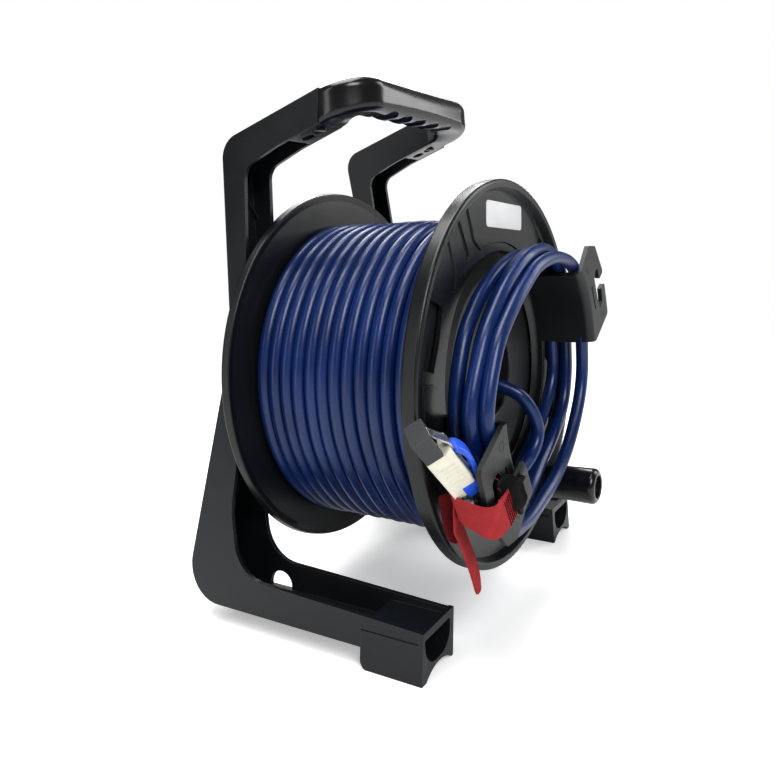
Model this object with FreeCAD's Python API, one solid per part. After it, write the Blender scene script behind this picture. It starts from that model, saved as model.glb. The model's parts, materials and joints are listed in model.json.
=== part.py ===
import FreeCAD, Part
import math
import os

# Portable cable reel: a cantilevered drum on a free-standing frame, wound with a network cable.
# Millimetres. X runs across the reel, Y from front to back, Z up.
# Drum parts are drawn about the drum axis (x 0, z 0), frame parts from the floor (z 0), and both
# with y 0 at the front rim of the front flange. save() then moves them to the row's origin,
# which is on the floor at the centre of the whole reel's footprint.

V = FreeCAD.Vector
OUT = "parts"

# Driving dimensions
FLANGE_R = 117.5
AXIS_Z = 141.2
ORIGIN = V(10.09, -64.92, 0)
CABLE_OD = 8.5
LOOP_R = 3.95
TURNS = 13
TURN_PITCH = 8.57
WOUND_R = 95.9
BARREL_R = 80.0
MOUTH_R = 74.5
WEB_Y = 6.4
WEB_BACK_Y = 9.0
REAR_FLANGE_Y = 123.5
REAR_RIM_Y = 128.0
LEDGE_Y = 15.3
REAR_SCREW_R = 74.0
HOOK_FRONT_Y = -29.5
HOOK_ANGLES = (28.5, 208.5)
HOOK_HALF_ANGLE = 21.0
PATTERN_ANGLE = 84.5
CRANK_R = 100.0
CRANK_ANGLE = -57.0
GRIP_R = 12.0
AXLE_R = 8.0
RUNNING = 0.05
FIT = 0.1

LEG_TOP_Z = 288.4
FLOOR_CLEARANCE = 11.0
FOOT_FRONT_Y = 3.0
SHOE_BACK_Y = 41.0
SHOE_TOP_Z = 20.4
SEAM_Y = 80.4
SPINE_T = 3.0
WALL_T = 2.6

PLUG_TIP = V(-131.5, -7.6, -4.2)
PLUG_TAIL = V(-93.6, -15.8, -46.4)
PLUG_UP = V(0.411, -0.744, 0.527)
STRAP_W = 20.0
STRAP_T = 1.6


# Small helpers

def polar(radius, degrees, y=0.0):
    """Point at a radius and angle about the drum axis, as seen from the front."""
    turn = math.radians(degrees)
    return V(radius * math.cos(turn), y, radius * math.sin(turn))


def turned(shape, degrees):
    """Copy turned about the drum axis, anticlockwise as seen from the front."""
    result = shape.copy()
    result.rotate(V(0, 0, 0), V(0, -1, 0), degrees)
    return result


def moved(shape, offset):
    result = shape.copy()
    result.translate(offset)
    return result


def mirrored(shape):
    return shape.mirror(V(0, 0, 0), V(1, 0, 0))


def rod(radius, y0, y1, at=V(0, 0, 0)):
    """Cylinder along Y."""
    return Part.makeCylinder(radius, y1 - y0, V(at.x, y0, at.z), V(0, 1, 0))


def ring(outer, inner, y0, y1, at=V(0, 0, 0)):
    return rod(outer, y0, y1, at).cut(rod(inner, y0 - 1, y1 + 1, at))


def pillar(radius, z0, z1, x, y):
    """Cylinder along Z."""
    return Part.makeCylinder(radius, z1 - z0, V(x, y, z0), V(0, 0, 1))


def box(x0, x1, y0, y1, z0, z1):
    return Part.makeBox(x1 - x0, y1 - y0, z1 - z0, V(x0, y0, z0))


def joined(shapes):
    result = shapes[0]
    for shape in shapes[1:]:
        result = result.fuse(shape)
    return result.removeSplitter()


def outline(corners, place):
    """Closed wire through corners (a, b, radius), rounded where the radius isn't 0."""
    count = len(corners)
    runs = []
    for i in range(count):
        a, b, radius = corners[i]
        before = corners[i - 1]
        after = corners[(i + 1) % count]
        back = V(before[0] - a, before[1] - b, 0).normalize()
        ahead = V(after[0] - a, after[1] - b, 0).normalize()
        here = V(a, b, 0)
        if radius == 0:
            runs.append((here, None, here))
            continue
        half = math.acos(max(-1.0, min(1.0, back.dot(ahead)))) / 2
        reach = radius / math.tan(half)
        inward = (back + ahead).normalize()
        middle = here + inward * (radius / math.sin(half) - radius)
        runs.append((here + back * reach, middle, here + ahead * reach))
    edges = []
    for i in range(count):
        start, middle, end = [p and place(p.x, p.y) for p in runs[i]]
        following = runs[(i + 1) % count][0]
        following = place(following.x, following.y)
        if middle:
            edges.append(Part.Arc(start, middle, end).toShape())
        if (following - end).Length > 1e-6:
            edges.append(Part.makeLine(end, following))
    return Part.Wire(edges)


def side_prism(corners, x0, x1):
    """Outline in (y, z), carried along X."""
    wire = outline(corners, lambda y, z: V(x0, y, z))
    return Part.Face(wire).extrude(V(x1 - x0, 0, 0))


def front_prism(corners, y0, y1):
    """Outline in (x, z), carried along Y."""
    wire = outline(corners, lambda x, z: V(x, y0, z))
    return Part.Face(wire).extrude(V(0, y1 - y0, 0))


def spun(corners, degrees=360.0, start=0.0, at=V(0, 0, 0)):
    """Outline in (radius, y), spun about the drum axis or a line parallel to it."""
    wire = outline(corners, lambda r, y: V(r, y, 0))
    shape = Part.Face(wire).revolve(V(0, 0, 0), V(0, -1, 0), degrees)
    return moved(turned(shape, start), at)


def bar(start, end, width, rise):
    """Straight rib from start to end with a given width, standing up along rise."""
    side = (end - start).cross(rise).normalize() * (width / 2)
    points = [start + side, end + side, end - side, start - side, start + side]
    return Part.Face(Part.makePolygon(points)).extrude(rise)


def tube_along(points, radius):
    """Round cable along a smooth line through points."""
    curve = Part.BSplineCurve()
    curve.interpolate(Points=points)
    edge = curve.toShape()
    start = edge.valueAt(edge.FirstParameter)
    heading = edge.tangentAt(edge.FirstParameter)
    circle = Part.Wire([Part.makeCircle(radius, start, heading)])
    return Part.Wire([edge]).makePipeShell([circle], True, True)


def save(name, shape, height=0.0):
    """Write one sub-part, at the row's origin."""
    moved(shape, ORIGIN + V(0, 0, height)).exportStep(os.path.join(OUT, name + ".step"))


def save_on_axis(name, shape):
    save(name, shape, AXIS_Z)


# Side frames: U-channels open towards the drum, narrower at the top than at the floor

def outer_x(z):
    return 116.4 - 0.136 * z


def inner_x(z):
    return 83.0 - 0.1034 * z


def leg_wedge(inset):
    """Block between the tapering side faces of the left leg, each moved in by inset."""
    low, high = -5.0, 330.0
    points = [
        (-outer_x(low) + inset, low, 0),
        (-inner_x(low) - inset, low, 0),
        (-inner_x(high) - inset, high, 0),
        (-outer_x(high) + inset, high, 0),
    ]
    return front_prism(points, -10, 190)


SPINE = [(FOOT_FRONT_Y + 3, 11.0), (172.8, 11.0), (140.5, 168.8), (152.3, LEG_TOP_Z), (SEAM_Y, 311.0)]


def spine_inset(depth):
    """Spine line moved in by depth, as the corners of its inner side."""
    lines = []
    for (y0, z0), (y1, z1) in zip(SPINE, SPINE[1:]):
        length = math.hypot(y1 - y0, z1 - z0)
        normal = (-(z1 - z0) / length, (y1 - y0) / length)
        lines.append(((y0 + normal[0] * depth, z0 + normal[1] * depth), (y1 - y0, z1 - z0)))
    corners = [lines[0][0]]
    for (p, d), (q, e) in zip(lines, lines[1:]):
        cross = d[0] * e[1] - d[1] * e[0]
        along = ((q[0] - p[0]) * e[1] - (q[1] - p[1]) * e[0]) / cross
        corners.append((p[0] + d[0] * along, p[1] + d[1] * along))
    p, d = lines[-1]
    corners.append((p[0] + d[0], p[1] + d[1]))
    return corners


def leg_profile():
    """Side view of the whole channel: spine outside, wall edges inside."""
    front = FOOT_FRONT_Y + 3
    return [
        (front, 11.0, 0),
        (172.8, 11.0, 22),
        (140.5, 168.8, 60),
        (152.3, LEG_TOP_Z, 13),
        (SEAM_Y, 311.0, 0),
        (SEAM_Y, 291.4, 0),
        (109.5, 281.7, 20),
        (133.5, 271.5, 9),
        (130.6, 223.3, 30),
        (130.2, 120.0, 60),
        (136.6, 70.0, 40),
        (130.0, 30.8, 24),
        (90.0, 29.5, 60),
        (front, 26.4, 0),
    ]


def pocket_profile(depth):
    """Hollow of the channel, running past the open side."""
    floor = spine_inset(depth)
    radii = (0, 22 - depth, 60, 13 - depth, 0)
    corners = [(y, z, r) for (y, z), r in zip(floor, radii)]
    y, z, r = corners[0]
    corners[0] = (y - 10, z, r)
    y, z, r = corners[-1]
    corners[-1] = (y - 20, z + 6.3, r)
    return corners + [(55.0, 240.0, 0), (80.0, 120.0, 0), (-10.0, 100.0, 0)]


def leg_ribs():
    """Low crossing ribs with a round boss, on the inner face of the spine."""
    floor = spine_inset(SPINE_T)
    shapes = []
    runs = ((floor[1], floor[2], (0.30, 0.71)), (floor[2], floor[3], (0.25, 0.74)))
    for (y0, z0), (y1, z1), places in runs:
        along = V(0, y1 - y0, z1 - z0)
        rise = V(0, -along.z, along.y).normalize() * 4.0
        for share in places:
            foot = V(0, y0, z0) + along * share
            middle = V(-(outer_x(foot.z) + inner_x(foot.z)) / 2, foot.y, foot.z)
            base = middle - rise * 0.25
            step = V(along).normalize() * 24
            for side in (-1, 1):
                across = V(15.5 * side, 0, 0)
                shapes.append(bar(base - step - across, base + step + across, 1.6, rise))
            shapes.append(Part.makeCylinder(2.6, 4.4, base, rise))
    return shapes


def left_frame():
    solid = side_prism(leg_profile(), -130, -30).common(leg_wedge(0))
    hollow = side_prism(pocket_profile(SPINE_T), -130, -30).common(leg_wedge(WALL_T))
    frame = solid.cut(hollow)
    inside = solid.common(leg_wedge(WALL_T - 0.5))
    ribs = joined(leg_ribs()).common(inside)
    frame = joined([frame, ribs])
    # The foot's front end steps up over the shoe, and has a deck in place of the deep channel
    front = FOOT_FRONT_Y + 3
    step = SHOE_BACK_Y + 0.2
    frame = frame.cut(box(-130, -60, front - 4, step, 0, SHOE_TOP_Z + 0.1))
    deck = side_prism(
        [
            (front, SHOE_TOP_Z + 0.1, 0),
            (step, SHOE_TOP_Z + 0.1, 0),
            (step, 11.0, 0),
            (step + 3, 11.0, 0),
            (step + 9, 14.5, 0),
            (step, 23.2, 4),
            (front, 23.2, 0),
        ],
        -130,
        -60,
    ).common(leg_wedge(0.5))
    frame = joined([frame, deck])
    # Round hole through the inner wall, low at the back of the foot
    hole = Part.makeCylinder(8.5, 12, V(-88, 121, 15.5), V(1, 0, 0))
    floor_strip = side_prism(leg_profile(), -130, -30).common(leg_wedge(0))
    floor_strip = floor_strip.cut(side_prism(pocket_profile(SPINE_T), -130, -30))
    return frame.cut(hole.cut(floor_strip))


def shoe_x(z):
    return outer_x(z) + 0.7


def left_shoe():
    """Front foot block: closed front wall with a U-shaped opening, arched sole."""
    def slab(y0, y1, z0, z1):
        points = [
            (-shoe_x(z0), z0, 0),
            (-inner_x(z0) + 0.7, z0, 0),
            (-inner_x(z1) + 0.7, z1, 0),
            (-shoe_x(z1), z1, 0),
        ]
        return front_prism(points, y0, y1)

    body = slab(FOOT_FRONT_Y, SHOE_BACK_Y, 0, SHOE_TOP_Z)
    wall = slab(FOOT_FRONT_Y, FOOT_FRONT_Y + 2.9, 0, 26.6)
    rounding = side_prism(
        [(-5, -5, 0), (SHOE_BACK_Y, 0, 6), (SHOE_BACK_Y, 30, 0), (-5, 30, 0)], -130, -60
    )
    centre = -(outer_x(12) + inner_x(12)) / 2
    half = 14.0
    opening = front_prism(
        [
            (centre - half, 22.6, 1),
            (centre + half, 22.6, 1),
            (centre + half - 1, 7.0, 11.5),
            (centre - half + 1, 7.0, 11.5),
        ],
        -5,
        SHOE_BACK_Y - 3,
    )
    arch_r = 22.0
    arch = rod(arch_r, -5, 60, V(centre, 0, 5.0 - arch_r))
    block = body.common(rounding).fuse(wall)
    block = block.cut(opening).cut(arch)
    boss = pillar(5.5, 4.0, SHOE_TOP_Z, centre, 30.0)
    block = joined([block, boss])
    block = block.cut(pillar(3.7, -1, 10.4, centre, 30.0))
    return block.cut(pillar(1.75, 9, 30, centre, 30.0))


def foot_screw(x, y, head_z, tip_z):
    """Pan-head screw pointing up."""
    return pillar(1.75, head_z, tip_z, x, y).fuse(pillar(3.4, head_z - 2.4, head_z, x, y))


REAR_PAD = (-99.0, -85.0, 120.0, 149.0)


def left_rear_pad():
    x0, x1, y0, y1 = REAR_PAD
    pad = box(x0, x1, y0, y1, 0, FLOOR_CLEARANCE - 0.05)
    pad = pad.makeFillet(3.0, [e for e in pad.Edges if e.BoundBox.ZLength > 5])
    middle_x, middle_y = (x0 + x1) / 2, (y0 + y1) / 2
    pad = pad.cut(pillar(3.7, -1, 3.4, middle_x, middle_y))
    return pad.cut(pillar(1.75, 2, 20, middle_x, middle_y))


# Handle

ARM_MIDDLE_Z = 301.2
GRIP_Y = 64.0
GRIP_Z = 307.6
GRIP_BEND_R = 15.6


def handle_section(corners, middle, outward, up):
    """Closed wire of a rounded section, its corners given as (outwards, up, radius)."""
    return outline(corners, lambda a, b: middle + outward * a + up * b)


def handle_grip():
    """U-shaped grip: each arm bends round into a thicker, rounder bar across the front."""
    arm_x = (outer_x(ARM_MIDDLE_Z) + inner_x(ARM_MIDDLE_Z)) / 2
    back_y = SEAM_Y + 6
    slope = (GRIP_Z - ARM_MIDDLE_Z) / (SEAM_Y - GRIP_Y)
    back_z = ARM_MIDDLE_Z - 6 * slope
    start, end = V(-arm_x, back_y, back_z), V(arm_x, back_y, back_z)
    corners = [V(-arm_x, GRIP_Y, GRIP_Z), V(arm_x, GRIP_Y, GRIP_Z)]
    ahead = (corners[0] - start).normalize()
    bends = []
    for corner, before, after in ((corners[0], -ahead, V(1, 0, 0)), (corners[1], V(-1, 0, 0), -ahead)):
        first, last = corner + before * GRIP_BEND_R, corner + after * GRIP_BEND_R
        inward = (before + after).normalize()
        middle = corner + inward * GRIP_BEND_R * (math.sqrt(2) - 1)
        bends.append((first, middle, last))
    edges = [Part.makeLine(start, bends[0][0]), Part.Arc(*bends[0]).toShape()]
    centre = V(0, GRIP_Y, GRIP_Z)
    edges += [Part.makeLine(bends[0][2], centre), Part.makeLine(centre, bends[1][0])]
    edges += [Part.Arc(*bends[1]).toShape(), Part.makeLine(bends[1][2], end)]
    sweep = Part.BRepOffsetAPI.MakePipeShell(Part.Wire(edges))
    sweep.setBiNormalMode(V(0, 0, 1))
    arm = [(-11.8, -9.2, 2), (11.9, -9.2, 2), (10.8, 9.2, 2.5), (-12.9, 9.2, 2)]
    bar_corners = [(-10.5, -10.2, 7), (11.5, -10.5, 8), (11.5, 11.0, 9.5), (-10.5, 10.5, 8)]
    for side in (-1, 1):
        rise = V(0, slope, 1).normalize()
        at = start if side < 0 else end
        sweep.add(handle_section(arm, at, V(side, 0, 0), rise))
        if side < 0:
            sweep.add(handle_section(bar_corners, centre, V(0, -1, 0), V(0, 0, 1)))
    sweep.build()
    sweep.makeSolid()
    return sweep.shape()


def handle():
    """Grip with finger scallops below, and a spigot into each arm."""
    grip = handle_grip().cut(box(-130, 130, SEAM_Y, 120, 250, 350))
    for k in range(5):
        x = (k - 2) * 17.0
        grip = grip.cut(Part.makeCylinder(9.4, 50, V(x, 40, 290.6), V(0, 1, 0)))
    spigot = side_prism(leg_profile(), -130, -30)
    spigot = spigot.common(side_prism(pocket_profile(SPINE_T + FIT), -130, -30))
    spigot = spigot.common(leg_wedge(WALL_T + FIT))
    spigot = spigot.common(box(-130, -30, SEAM_Y, 102, 270, 330))
    neck = box(-outer_x(300) + 4, -inner_x(300) - 4, SEAM_Y - 6, SEAM_Y + 1, 294, 306)
    spigot = spigot.fuse(neck)
    body = joined([grip, spigot, mirrored(spigot)])
    for x, y in handle_screw_places():
        body = body.cut(pillar(3.8, 270, 291.2, x, y))
        body = body.cut(pillar(1.9, 280, 301, x, y))
    return body


def handle_screw_places():
    x = (outer_x(290) + inner_x(290)) / 2
    return [(side * x, y) for side in (-1, 1) for y in (87.0, 96.0)]


def handle_screws():
    screws = []
    for x, y in handle_screw_places():
        screws.append(pillar(1.9, 291.2, 301, x, y).fuse(pillar(3.6, 289.0, 291.2, x, y)))
    return Part.makeCompound(screws)


# Crossplate and axle

PLATE_Y0, PLATE_Y1 = 131.2, 145.0
PLATE_HALF = 40.0


def crossplate():
    low, high = AXIS_Z - PLATE_HALF, AXIS_Z + PLATE_HALF
    tray = [
        (-inner_x(low) + FIT, low, 0),
        (inner_x(low) - FIT, low, 0),
        (inner_x(high) - FIT, high, 0),
        (-inner_x(high) + FIT, high, 0),
    ]
    hollow = [
        (-inner_x(low) + 5, low + 4, 4),
        (inner_x(low) - 5, low + 4, 4),
        (inner_x(high) - 5, high - 4, 4),
        (-inner_x(high) + 5, high - 4, 4),
    ]
    axis = V(0, 0, AXIS_Z)
    plate = front_prism(tray, PLATE_Y0, PLATE_Y1)
    plate = plate.cut(front_prism(hollow, PLATE_Y0 + 3.5, PLATE_Y1 + 1))
    ribs = [rod(20, PLATE_Y0, PLATE_Y1, axis)]
    for degrees in (30, 90, 150):
        reach = polar(60, degrees)
        start = V(-reach.x, PLATE_Y0 + 2, AXIS_Z - reach.z)
        end = V(reach.x, PLATE_Y0 + 2, AXIS_Z + reach.z)
        ribs.append(bar(start, end, 2.4, V(0, PLATE_Y1 - PLATE_Y0 - 4, 0)))
    ribs = joined(ribs).common(front_prism(tray, PLATE_Y0, PLATE_Y1))
    plate = joined([plate, ribs]).cut(rod(AXLE_R, 0, 200, axis))
    for side in (-1, 1):
        for z in crossplate_screw_heights():
            plate = plate.cut(crossplate_screw(side, z, 2.5, 4.8))
    return plate


def crossplate_screw_heights():
    return (AXIS_Z - 25, AXIS_Z + 25)


def crossplate_screw(side, z, radius, head=0.0):
    """Screw from inside the crossplate's end wall into the leg's inner wall."""
    start = V(side * (inner_x(z) - 5), 140, z)
    shank = Part.makeCylinder(radius, 12, start, V(side, 0, 0))
    if head:
        cap = Part.makeCylinder(head, 2.6, start + V(-side * 2.6, 0, 0), V(side, 0, 0))
        shank = shank.fuse(cap)
    return shank


def axle():
    shaft = rod(AXLE_R, 52.0, 147.0)
    shoulder = rod(13, 128.7, PLATE_Y0)
    thread = rod(6, 147.0, 158.0)
    tapped = rod(2.5, 50, 70)
    return joined([shaft, shoulder, thread]).cut(tapped)


def hexagon(across, y0, y1):
    radius = across / math.sqrt(3)
    corners = [(polar(radius, 60 * k).x, polar(radius, 60 * k).z, 0) for k in range(6)]
    return front_prism(corners, y0, y1)


# Drum

def drum_core():
    parts = [ring(BARREL_R, 77.7, WEB_BACK_Y, REAR_FLANGE_Y)]
    parts.append(ring(78.5, 13, 60, 63))
    parts.append(ring(15, 9.5, 54, 123.0))
    for k in range(6):
        direction = polar(1, 60 * k + 30)
        start = direction * 14 + V(0, 62, 0)
        end = direction * 78.5 + V(0, 62, 0)
        parts.append(bar(start, end, 2.4, V(0, 50, 0)))
        parts.append(rod(4.5, 95, REAR_FLANGE_Y, polar(REAR_SCREW_R, 60 * k)))
    for degrees in disc_screw_angles():
        parts.append(rod(5.0, 18.1, 61, polar(65, degrees)))
    core = joined(parts)
    core = core.cut(rod(11.0, 53, 69)).cut(rod(11.0, 108, 124))
    for k in range(6):
        core = core.cut(rod(1.6, 108, 125, polar(REAR_SCREW_R, 60 * k)))
    for degrees in disc_screw_angles():
        core = core.cut(rod(1.6, 17, 34, polar(65, degrees)))
    port = polar(1, 150)
    return core.cut(Part.makeCylinder(5.5, 12, port * 74 + V(0, 40, 0), port))


def disc_screw_angles():
    return (95, 185, 275, 5)


def pan_screw(radius, head_r, y_head, y_seat, y_tip, cross=0.0):
    """Pan-head screw along Y, head at the front if y_head is less than y_seat."""
    shank = rod(radius, min(y_seat, y_tip), max(y_seat, y_tip))
    head = rod(head_r, min(y_head, y_seat), max(y_head, y_seat))
    screw = shank.fuse(head)
    if cross:
        depth = 1.2 if y_head < y_seat else -1.2
        low, high = sorted((y_head - depth * 0.1, y_head + depth))
        arm = head_r * 0.62
        for x, z in ((arm, cross), (cross, arm)):
            screw = screw.cut(box(-x, x, low, high, -z, z))
    return screw


def emboss(half_angle, inner_r, outer_r, chamfer, centre):
    """Front-view wedge panel about a centre angle, with cut inner corners."""
    def at(radius, degrees):
        point = polar(radius, degrees)
        return (point.x, point.z, 0)

    points = [at(outer_r, centre - half_angle)]
    points.append(at(inner_r + 2 * chamfer, centre - half_angle))
    points.append(at(inner_r, centre - half_angle + chamfer))
    steps = 8
    span = half_angle - chamfer
    for k in range(1, steps):
        points.append(at(inner_r, centre - span + 2 * span * k / steps))
    points.append(at(inner_r, centre + half_angle - chamfer))
    points.append(at(inner_r + 2 * chamfer, centre + half_angle))
    points.append(at(outer_r, centre + half_angle))
    for k in range(1, steps):
        points.append(at(outer_r, centre + half_angle - 2 * half_angle * k / steps))
    return points


def obround(r0, r1, width, degrees, y0, y1):
    """Radial slot with round ends."""
    ends = [rod(width / 2, y0, y1, polar(r, degrees)) for r in (r0 + width / 2, r1 - width / 2)]
    start = polar(r0 + width / 2, degrees, y0)
    end = polar(r1 - width / 2, degrees, y0)
    return joined([bar(start, end, width, V(0, y1 - y0, 0))] + ends)


def front_flange():
    profile = [
        (MOUTH_R, WEB_Y, 0.8),
        (110.5, WEB_Y, 1.5),
        (113.0, 0, 0.8),
        (FLANGE_R, 0, 1.8),
        (FLANGE_R, WEB_BACK_Y, 1.5),
        (77.6, WEB_BACK_Y, 0),
        (77.6, LEDGE_Y + 2.7, 0),
        (58.0, LEDGE_Y + 2.7, 0),
        (58.0, LEDGE_Y, 0),
        (MOUTH_R, LEDGE_Y, 0),
    ]
    flange = spun(profile)
    disc = ring(111.4, 79.0, WEB_Y - 0.9, WEB_Y + 0.3)
    for half_turn in (0, 180):
        base = PATTERN_ANGLE + half_turn
        flange = flange.fuse(front_prism(emboss(28.5, 80.5, 116, 4, base), 0, 40).common(disc))
        hook_zone = base + 124
        flange = flange.fuse(front_prism(emboss(34.5, 80.5, 100, 4, hook_zone), 0, 40).common(disc))
        for side in (-1, 1):
            offset = base + side * 36.5
            flange = flange.cut(obround(83, 109, 7.5, offset, WEB_Y - 2, WEB_Y + 1.0))
        for r0, a0, r1, a1 in ((107, 43.8, 89, 46.9), (89, 46.9, 82.5, 52)):
            rib = bar(polar(r0, base + a0, 5.6), polar(r1, base + a1, 5.6), 1.2, V(0, 1.2, 0))
            flange = flange.fuse(rib)
        window = [polar(r, base + a) for r, a in ((88, 62.5), (104, 64), (104, 84.5), (88, 86), (85, 75))]
        window = [(p.x, p.z, 1.5) for p in window]
        flange = flange.cut(front_prism(window, -1, 20))
    for degrees in HOOK_ANGLES:
        slot = spun([(73, -5, 0), (77.65, -5, 0), (77.65, 30, 0), (73, 30, 0)], 42.4, degrees - 21.2)
        flange = flange.cut(slot)
        for side in (-1, 1):
            flange = flange.cut(rod(1.5, 10, 30, polar(68, degrees + 9 * side)))
    for degrees in disc_screw_angles():
        flange = flange.cut(rod(1.8, 10, 30, polar(65, degrees)))
    crank = polar(CRANK_R, CRANK_ANGLE)
    flange = flange.cut(rod(5.0, -1, 20, crank)).cut(rod(8.0, 7.4, 20, crank))
    return flange.removeSplitter()


def rear_flange():
    profile = [
        (15.5, REAR_FLANGE_Y, 0),
        (112.0, REAR_FLANGE_Y, 0),
        (FLANGE_R - 1.0, REAR_FLANGE_Y - 1.4, 1.0),
        (FLANGE_R, REAR_RIM_Y - 0.1, 1.6),
        (113.0, REAR_RIM_Y - 0.1, 1.0),
        (113.0, 126.0, 1.0),
        (15.5, 126.0, 0),
    ]
    flange = spun(profile)
    ribs = [ring(89, 87, 125.5, 127.6), ring(29, 27, 125.5, 127.6)]
    for k in range(12):
        ribs.append(bar(polar(28, 30 * k, 125.5), polar(116.2, 30 * k, 125.5), 2.0, V(0, 2.1, 0)))
    flange = joined([flange] + ribs)
    for k in range(6):
        spot = polar(REAR_SCREW_R, 60 * k)
        flange = flange.cut(rod(1.9, 120, 130, spot)).cut(rod(4.2, 126.0, 130, spot))
    return flange


def hub_disc():
    """Recessed front disc with a rolled cable mouth in its middle."""
    profile = [
        (28.0, 12.3, 1.2),
        (69.0, 12.3, 0.8),
        (69.0, LEDGE_Y - FIT, 0),
        (30.5, LEDGE_Y - FIT, 0),
        (30.5, 21.0, 0.8),
        (28.0, 21.0, 0.8),
    ]
    disc = spun(profile)
    for degrees in disc_screw_angles():
        disc = disc.cut(rod(1.8, 10, 30, polar(65, degrees)))
    return disc


def hook():
    """Curved tongue with a notched lip, drawn about angle 0."""
    back = HOOK_FRONT_Y + 3.0
    bend = [
        (74.6, LEDGE_Y + 2.8, 0),
        (77.5, LEDGE_Y + 2.8, 0),
        (77.5, back, 2),
        (116.0, back, 0),
        (116.0, HOOK_FRONT_Y, 0),
        (74.6, HOOK_FRONT_Y, 5),
    ]
    swept = spun(bend, 70, -35)
    lip = [
        (64.0, 26.0, 0),
        (93.6, 34.9, 2.5),
        (105.5, 28.0, 2.5),
        (113.2, 3.2, 2),
        (103.8, 3.2, 0.8),
        (102.8, 12.6, 1.5),
        (98.0, 12.6, 1.5),
        (93.5, 9.3, 1),
        (93.5, -14.8, 3),
        (102.6, -14.8, 3),
        (104.2, -5.4, 0.8),
        (112.6, -5.4, 2),
        (109.6, -29.2, 3),
        (76.7, -29.6, 3),
        (64.0, -23.5, 0),
    ]
    lip = front_prism(lip, HOOK_FRONT_Y - 1, HOOK_FRONT_Y + 7)
    behind = HOOK_FRONT_Y + 7
    sector = [(60, behind, 0), (120, behind, 0), (120, 40, 0), (60, 40, 0)]
    tongue = spun(sector, 2 * HOOK_HALF_ANGLE, -HOOK_HALF_ANGLE)
    shape = swept.common(lip.fuse(tongue))
    thin_slot = box(85.2, 87.0, HOOK_FRONT_Y - 1, back + 1, -9.8, 8.4)
    shape = shape.cut(thin_slot)
    foot_y = LEDGE_Y + 2.8
    foot_profile = [(62, foot_y, 1), (77.5, foot_y, 0), (77.5, foot_y + 3, 0), (62, foot_y + 3, 1)]
    foot = spun(foot_profile, 30, -15)
    shape = joined([shape, foot])
    for side in (-1, 1):
        shape = shape.cut(rod(1.6, 10, 30, polar(68, 9 * side)))
    return shape


def wound_cable():
    """Closed body of the whole winding, one rounded ridge per turn."""
    width = TURNS * TURN_PITCH
    start = (WEB_BACK_Y + REAR_FLANGE_Y - width) / 2
    valley = WOUND_R - 2.6
    inner = BARREL_R + FIT
    points = [V(inner, start, 0), V(valley, start, 0)]
    edges = [Part.makeLine(points[0], points[1])]
    for k in range(TURNS):
        y = start + k * TURN_PITCH
        arc = Part.Arc(V(valley, y, 0), V(WOUND_R, y + TURN_PITCH / 2, 0), V(valley, y + TURN_PITCH, 0))
        edges.append(arc.toShape())
    end = start + width
    edges.append(Part.makeLine(V(valley, end, 0), V(inner, end, 0)))
    edges.append(Part.makeLine(V(inner, end, 0), points[0]))
    return Part.Face(Part.Wire(edges)).revolve(V(0, 0, 0), V(0, 1, 0), 360)


# Stations round each loop, anticlockwise from the front: degrees, then radius and y per loop.
# The loops lie on the two hooks, sag inwards between them and stay clear of the crank.
LOOP_DEGREES = (7, 30, 49, 72, 98, 120, 140, 160, 184, 208, 232, 265, 303, 337)
LOOP_RADII = (
    (82, 82, 82, 75, 68, 68, 72, 78, 84, 83, 82, 77, 65, 74),
    (90, 89.5, 86.5, 77, 68.5, 64.5, 66.5, 72, 82.5, 82, 82, 79, 74, 87),
    (82, 82.5, 82, 78, 72.5, 70.5, 73, 80, 91, 89, 88, 84, 66, 79),
    (82, 82, 82, 73, 67, 65, 68.5, 77, 86.5, 82, 83, 76, 66, 74),
)
LOOP_Y = (
    (1.2, 1.2, 1, 0, -1.5, -2.5, -3, -3.5, -4, -4, 0, 1.2, 1.2, 1.2),
    (-4.2, -4.8, -5.6, -7.3, -9.4, -10.2, -10.4, -11, -12, -12, -8, -6.4, -5.5, -4.6),
    (-7, -9.5, -13, -15, -16.4, -16, -15.8, -15.6, -15.3, -16, -13.5, -12.8, -8.5, -7),
    (-20.2, -21.5, -22.4, -22.4, -22.4, -22.4, -22.4, -22.4, -22.4, -20.2, -20, -19.5, -20, -20.2),
)


def cable_loops():
    """Four rings, each with its two cut ends meeting behind the upper hook."""
    loops = []
    for radii, ys in zip(LOOP_RADII, LOOP_Y):
        stations = list(zip(radii, LOOP_DEGREES, ys))
        r, degrees, y = stations[1]
        order = [(r, degrees + 0.2, y)] + stations[2:] + stations[:1] + [(r, degrees - 0.2, y)]
        loops.append(tube_along([polar(*station) for station in order], LOOP_R))
    return Part.makeCompound(loops)


def cable_lead():
    """Cable from the winding's port, through the hub's mouth and down towards the loops."""
    points = [
        V(-65, 40, 37.5),
        V(-40, 38, 23),
        V(-13, 31, 6),
        V(2, 20, -5),
        V(6, 8, -10),
        V(9, -3, -16),
        V(14, -9, -28),
        V(15.5, -11, -40),
        V(8, -10, -51),
        V(-8, -8.5, -58),
    ]
    return tube_along(points, CABLE_OD / 2)


# Crank

def crank_grip():
    base = WEB_Y - 1.2
    bore = AXLE_R - 3 + RUNNING
    profile = [
        (bore, base, 0),
        (GRIP_R - 1.6, base, 0.6),
        (GRIP_R - 0.2, -2.0, 8),
        (GRIP_R - 0.7, -14.0, 60),
        (GRIP_R, -38.0, 3.5),
        (7.5, -38.0, 0.8),
        (7.5, -29.8, 0),
        (bore, -29.8, 0),
    ]
    return spun(profile, at=polar(CRANK_R, CRANK_ANGLE))


def crank_pin():
    shape = rod(5.0, -29.9, WEB_BACK_Y).fuse(rod(8.0, 7.4, WEB_BACK_Y))
    return moved(shape.cut(rod(2.0, -31, -14)), polar(CRANK_R, CRANK_ANGLE))


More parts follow.
